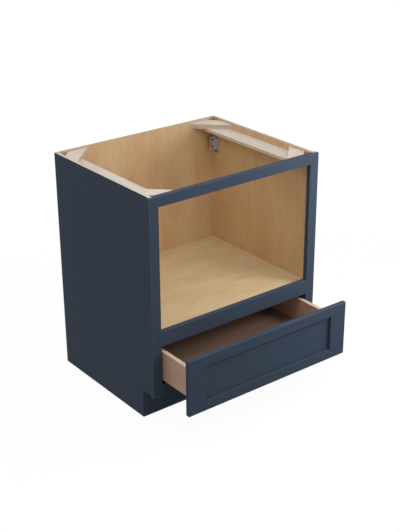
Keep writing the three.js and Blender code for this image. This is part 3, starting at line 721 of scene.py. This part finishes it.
def screw_rings(head, height, shank, length):
    """Pairs of a radius, or a function of the angle, and a height over the seat.

    The recess and the dome of the head are shares of the head's radius and height.
    """
    arm = head * 0.52
    rings = [
        (lambda angle: 0.45 * cross_radius(angle, arm), height * 0.3),
        (lambda angle: cross_radius(angle, arm), height),
        (head * 0.62, height * 0.99),
        (head * 0.84, height * 0.84),
        (head * 0.96, height * 0.56),
        (head, height * 0.2),
        (head * 0.98, 0.0),
        (shank, 0.0),
    ]
    turns = int((length - 3 * shank) / THREAD_PITCH)
    for turn in range(turns):
        top = -(turn + 0.6) * THREAD_PITCH
        rings += [(shank * 0.72, top), (shank, top - THREAD_PITCH * 0.4)]
    return rings + [(shank * 0.7, -length + 2 * shank), (shank * 0.08, -length)]


def turned_mesh(name, rings):
    shape = bmesh.new()
    angles = [2 * math.pi * step / SCREW_SIDES for step in range(SCREW_SIDES)]
    loops = []
    for radius, height in rings:
        reach = [radius(angle) if callable(radius) else radius for angle in angles]
        loops.append([
            shape.verts.new((math.cos(angle) * far, math.sin(angle) * far, height))
            for angle, far in zip(angles, reach)
        ])
    for upper, lower in zip(loops, loops[1:]):
        for step in range(SCREW_SIDES):
            after = (step + 1) % SCREW_SIDES
            shape.faces.new((upper[step], lower[step], lower[after], upper[after]))
    shape.faces.new(loops[0])
    shape.faces.new(reversed(loops[-1]))
    mesh = bpy.data.meshes.new(name)
    shape.to_mesh(mesh)
    shape.free()
    mesh.shade_smooth()
    mesh.set_sharp_from_angle(angle=CREASE)
    return mesh


def drive_screw(name, seat, facing, mesh, finish, spin, body="cabinet"):
    """Seats the underside of a screw's head at a point; `facing` is where the head looks."""
    screw = bpy.data.objects.new(name, mesh.copy())
    screw.data.materials.append(finish)
    turn = facing.to_track_quat("Z", "Y").to_matrix().to_4x4()
    screw.matrix_world = Matrix.Translation(seat) @ turn @ Matrix.Rotation(spin, 4, "Z")
    bpy.context.scene.collection.objects.link(screw)
    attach(screw, body)
    return screw


short_screw = turned_mesh("short_screw", screw_rings(**SHORT))
bracket_screw = turned_mesh("bracket_screw", screw_rings(**MEDIUM))
front_screw = turned_mesh("front_screw", screw_rings(**LONG))
print("faces in a short screw:", len(short_screw.polygons))

# %% [markdown]
# ## Drive the screws
#
# Four screws hold each angle bracket: two in the side panel, where plain screws
# already stand in the model and are replaced, and two through the wider holes in
# the front flange. The drawer front is held from inside the drawer box, each slide
# by one screw in its stile and its rear bracket by two in the back panel. Nobody
# lines up the crosses, so each is turned by another angle.

# %% Bracket and drawer-front screws
FLANGE = 0.002
HOLE_FROM_WALL = 0.016
HOLE_FROM_TOP = 0.013
HOLE_SPACING = 0.0299


def side_of(low, high, direction):
    """The x of the face of a box that looks that way."""
    return high.x if direction.x > 0 else low.x


for number, (hand, outward) in enumerate(HANDS.items()):
    for level in ("lower", "upper"):
        node = f"bracket_screw_{hand}_{level}"
        low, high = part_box(node)
        seat = (low + high) / 2
        seat.x = side_of(low, high, -outward) + outward.x * SHORT["height"]
        spin = 0.4 + number + len(level)
        new = drive_screw(f"{node}_turned", seat, -outward, short_screw, screw_black, spin)
        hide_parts(node)
    low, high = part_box(f"angle_bracket_{hand}")
    wall = side_of(low, high, outward)
    for level in range(2):
        seat = Vector((
            wall - outward.x * HOLE_FROM_WALL,
            high.y - FLANGE,
            high.z - HOLE_FROM_TOP - level * HOLE_SPACING,
        ))
        name = f"bracket_back_screw_{hand}_{level}"
        drive_screw(name, seat, FRONT, bracket_screw, screw_black, 0.9 + level + number)
    for level in ("low", "high"):
        node = f"drawer_front_screw_{hand}_{level}"
        low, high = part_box(node)
        seat = (low + high) / 2
        seat.y = high.y - LONG["height"]
        spin = len(level)
        new = drive_screw(f"{node}_turned", seat, BACK, front_screw, screw_zinc, spin, "drawer")
        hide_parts(node)
print("bracket and drawer-front screws driven")

# %% Slide screws
TAB_DEPTH = 0.0015
TAB_SCREW_BACK = 0.0115  # behind the face of the frame
TAB_SCREW_RISE = 0.0095
PLATE_SCREW_SPREAD = 0.0165
PLATE_SCREW_DROP = 0.006

for number, (hand, outward) in enumerate(HANDS.items()):
    low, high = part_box(f"slide_fixed_member_{hand}")
    tab = side_of(low, high, outward)
    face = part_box(f"frame_stile_{hand}")[0].y
    seat = Vector((tab - outward.x * TAB_DEPTH, face + TAB_SCREW_BACK, low.z + TAB_SCREW_RISE))
    name = f"slide_tab_screw_{hand}"
    drive_screw(name, seat, -outward, short_screw, screw_zinc, 0.5 + number)
    low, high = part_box(f"slide_rear_bracket_{hand}")
    for place in (-1, 1):
        seat = Vector((
            (low.x + high.x) / 2 + place * PLATE_SCREW_SPREAD,
            high.y - TAB_DEPTH,
            high.z - PLATE_SCREW_DROP,
        ))
        name = f"rear_bracket_screw_{hand}_{place + 1}"
        drive_screw(name, seat, FRONT, short_screw, screw_zinc, 1.1 + place + number)
print("slide screws driven")

# %% [markdown]
# ## The floor and the light
#
# The picture is a cut-out on white. A floor that camera rays see as almost white
# still shows a faint shadow under the cabinet, and further out it fades into the
# white of the world, so no seam shows. The light on the cabinet stays at a plain
# level. A small key lamp stands close in front of the upper right corner, which is
# why the frame brightens towards it and the left side stays dark. Three soft lamps
# from above fill the frame, the left side and the open box, a weak one far in front
# opens the shade under the drawer, and one stands behind for whoever walks round
# the cabinet. Light that bounces finds the floor a mid grey, so little of it comes up
# under the rails, while the camera, reflections and glass find it nearly white.

# %% Floor and world
FLOOR_SIZE = 30.0
FLOOR_BELOW = 0.0005
FLOOR_GREY = (0.22, 0.22, 0.22, 1.0)
FADE_FROM, FADE_TO = 1.4, 3.0  # metres from the cabinet
GLOW_STRENGTH = 1.2
GLOW_NEAR, GLOW_FARTHER = 0.8, 0.04  # share of the glow, and what is added further out
WHITE = (1.0, 1.0, 1.0, 1.0)


def seen_directly(graph):
    kinds = ("Camera", "Glossy", "Transmission")
    camera_ray, glossy_ray, clear_ray = (
        graph.node("ShaderNodeLightPath", output=f"Is {kind} Ray") for kind in kinds
    )
    return graph.node("ShaderNodeClamp", {0: camera_ray + glossy_ray + clear_ray})


floor_graph = Graph("studio_floor")
floor_graph.set(Base_Color=FLOOR_GREY, Roughness=0.9)
glow = floor_graph.node("ShaderNodeEmission", {"Color": WHITE, "Strength": GLOW_STRENGTH})
lit = Wire(floor_graph, floor_graph.surface.outputs["BSDF"])
away = floor_graph.node(
    "ShaderNodeVectorMath", {0: object_place(floor_graph)}, "Value", operation="LENGTH"
)
fade = soft_step(floor_graph, away, FADE_FROM, FADE_TO)
share = seen_directly(floor_graph) * (GLOW_NEAR + fade * GLOW_FARTHER)
seen = floor_graph.node("ShaderNodeMixShader", {0: share, 1: lit, 2: glow})
floor_graph.feed(floor_graph.tree.nodes["Material Output"].inputs["Surface"], seen)

floor_mesh = bpy.data.meshes.new("studio_floor")
half = FLOOR_SIZE / 2
corners = [(-half, -half, 0), (half, -half, 0), (half, half, 0), (-half, half, 0)]
floor_mesh.from_pydata(corners, [], [(0, 1, 2, 3)])
floor_mesh.materials.append(floor_graph.material)
floor = bpy.data.objects.new("studio_floor", floor_mesh)
floor.location.z = joinery_box[0][2] - FLOOR_BELOW
bpy.context.scene.collection.objects.link(floor)


class WorldGraph(Graph):
    """The world's nodes, with the same helpers as a material's."""

    def __init__(self, world):
        world.use_nodes = True
        self.tree = world.node_tree


AMBIENT = 0.53
world = bpy.data.worlds.new("studio_world")
bpy.context.scene.world = world
world_graph = WorldGraph(world)
ambient = world_graph.node("ShaderNodeBackground", {"Color": WHITE, "Strength": AMBIENT})
white_room = world_graph.node("ShaderNodeBackground", {"Color": WHITE, "Strength": 1.0})
sockets = {0: seen_directly(world_graph), 1: ambient, 2: white_room}
room = world_graph.node("ShaderNodeMixShader", sockets)
world_graph.feed(world_graph.tree.nodes["World Output"].inputs["Surface"], room)
print("white room ready")

# %% Lamps
LAMPS = {  # where it stands, what it looks at, metres across, watts
    "key": ((0.8, -0.9, 0.95), (0.3, -0.3, 0.8), 0.4, 8.6),
    "overhead": ((0.1, -0.7, 3.4), (0.0, -0.1, 0.5), 2.0, 14.0),
    "left_above": ((-2.0, -0.6, 2.6), (0.0, 0.0, 0.4), 1.4, 7.5),
    "into_the_top": ((-0.3, -0.8, 1.9), (0.3, 0.4, 0.7), 0.8, 4.0),
    "front": ((0.5, -3.4, 1.2), (0.0, 0.0, 0.45), 1.6, 5.5),
    "behind": ((0.4, 3.6, 0.7), (0.0, 0.3, 0.45), 1.6, 14.0),
}


def softbox(name, place, target, size, watts):
    lamp = bpy.data.lights.new(name, "AREA")
    lamp.shape = "SQUARE"
    lamp.size = size
    lamp.energy = watts
    holder = bpy.data.objects.new(name, lamp)
    holder.location = place
    aim = Vector(target) - Vector(place)
    holder.rotation_euler = aim.to_track_quat("-Z", "Y").to_euler()
    holder.visible_camera = False
    bpy.context.scene.collection.objects.link(holder)


for name, settings in LAMPS.items():
    softbox(name, *settings)
bpy.context.scene.view_settings.view_transform = "Standard"
print("lamps:", [lamp.name for lamp in bpy.data.lights])
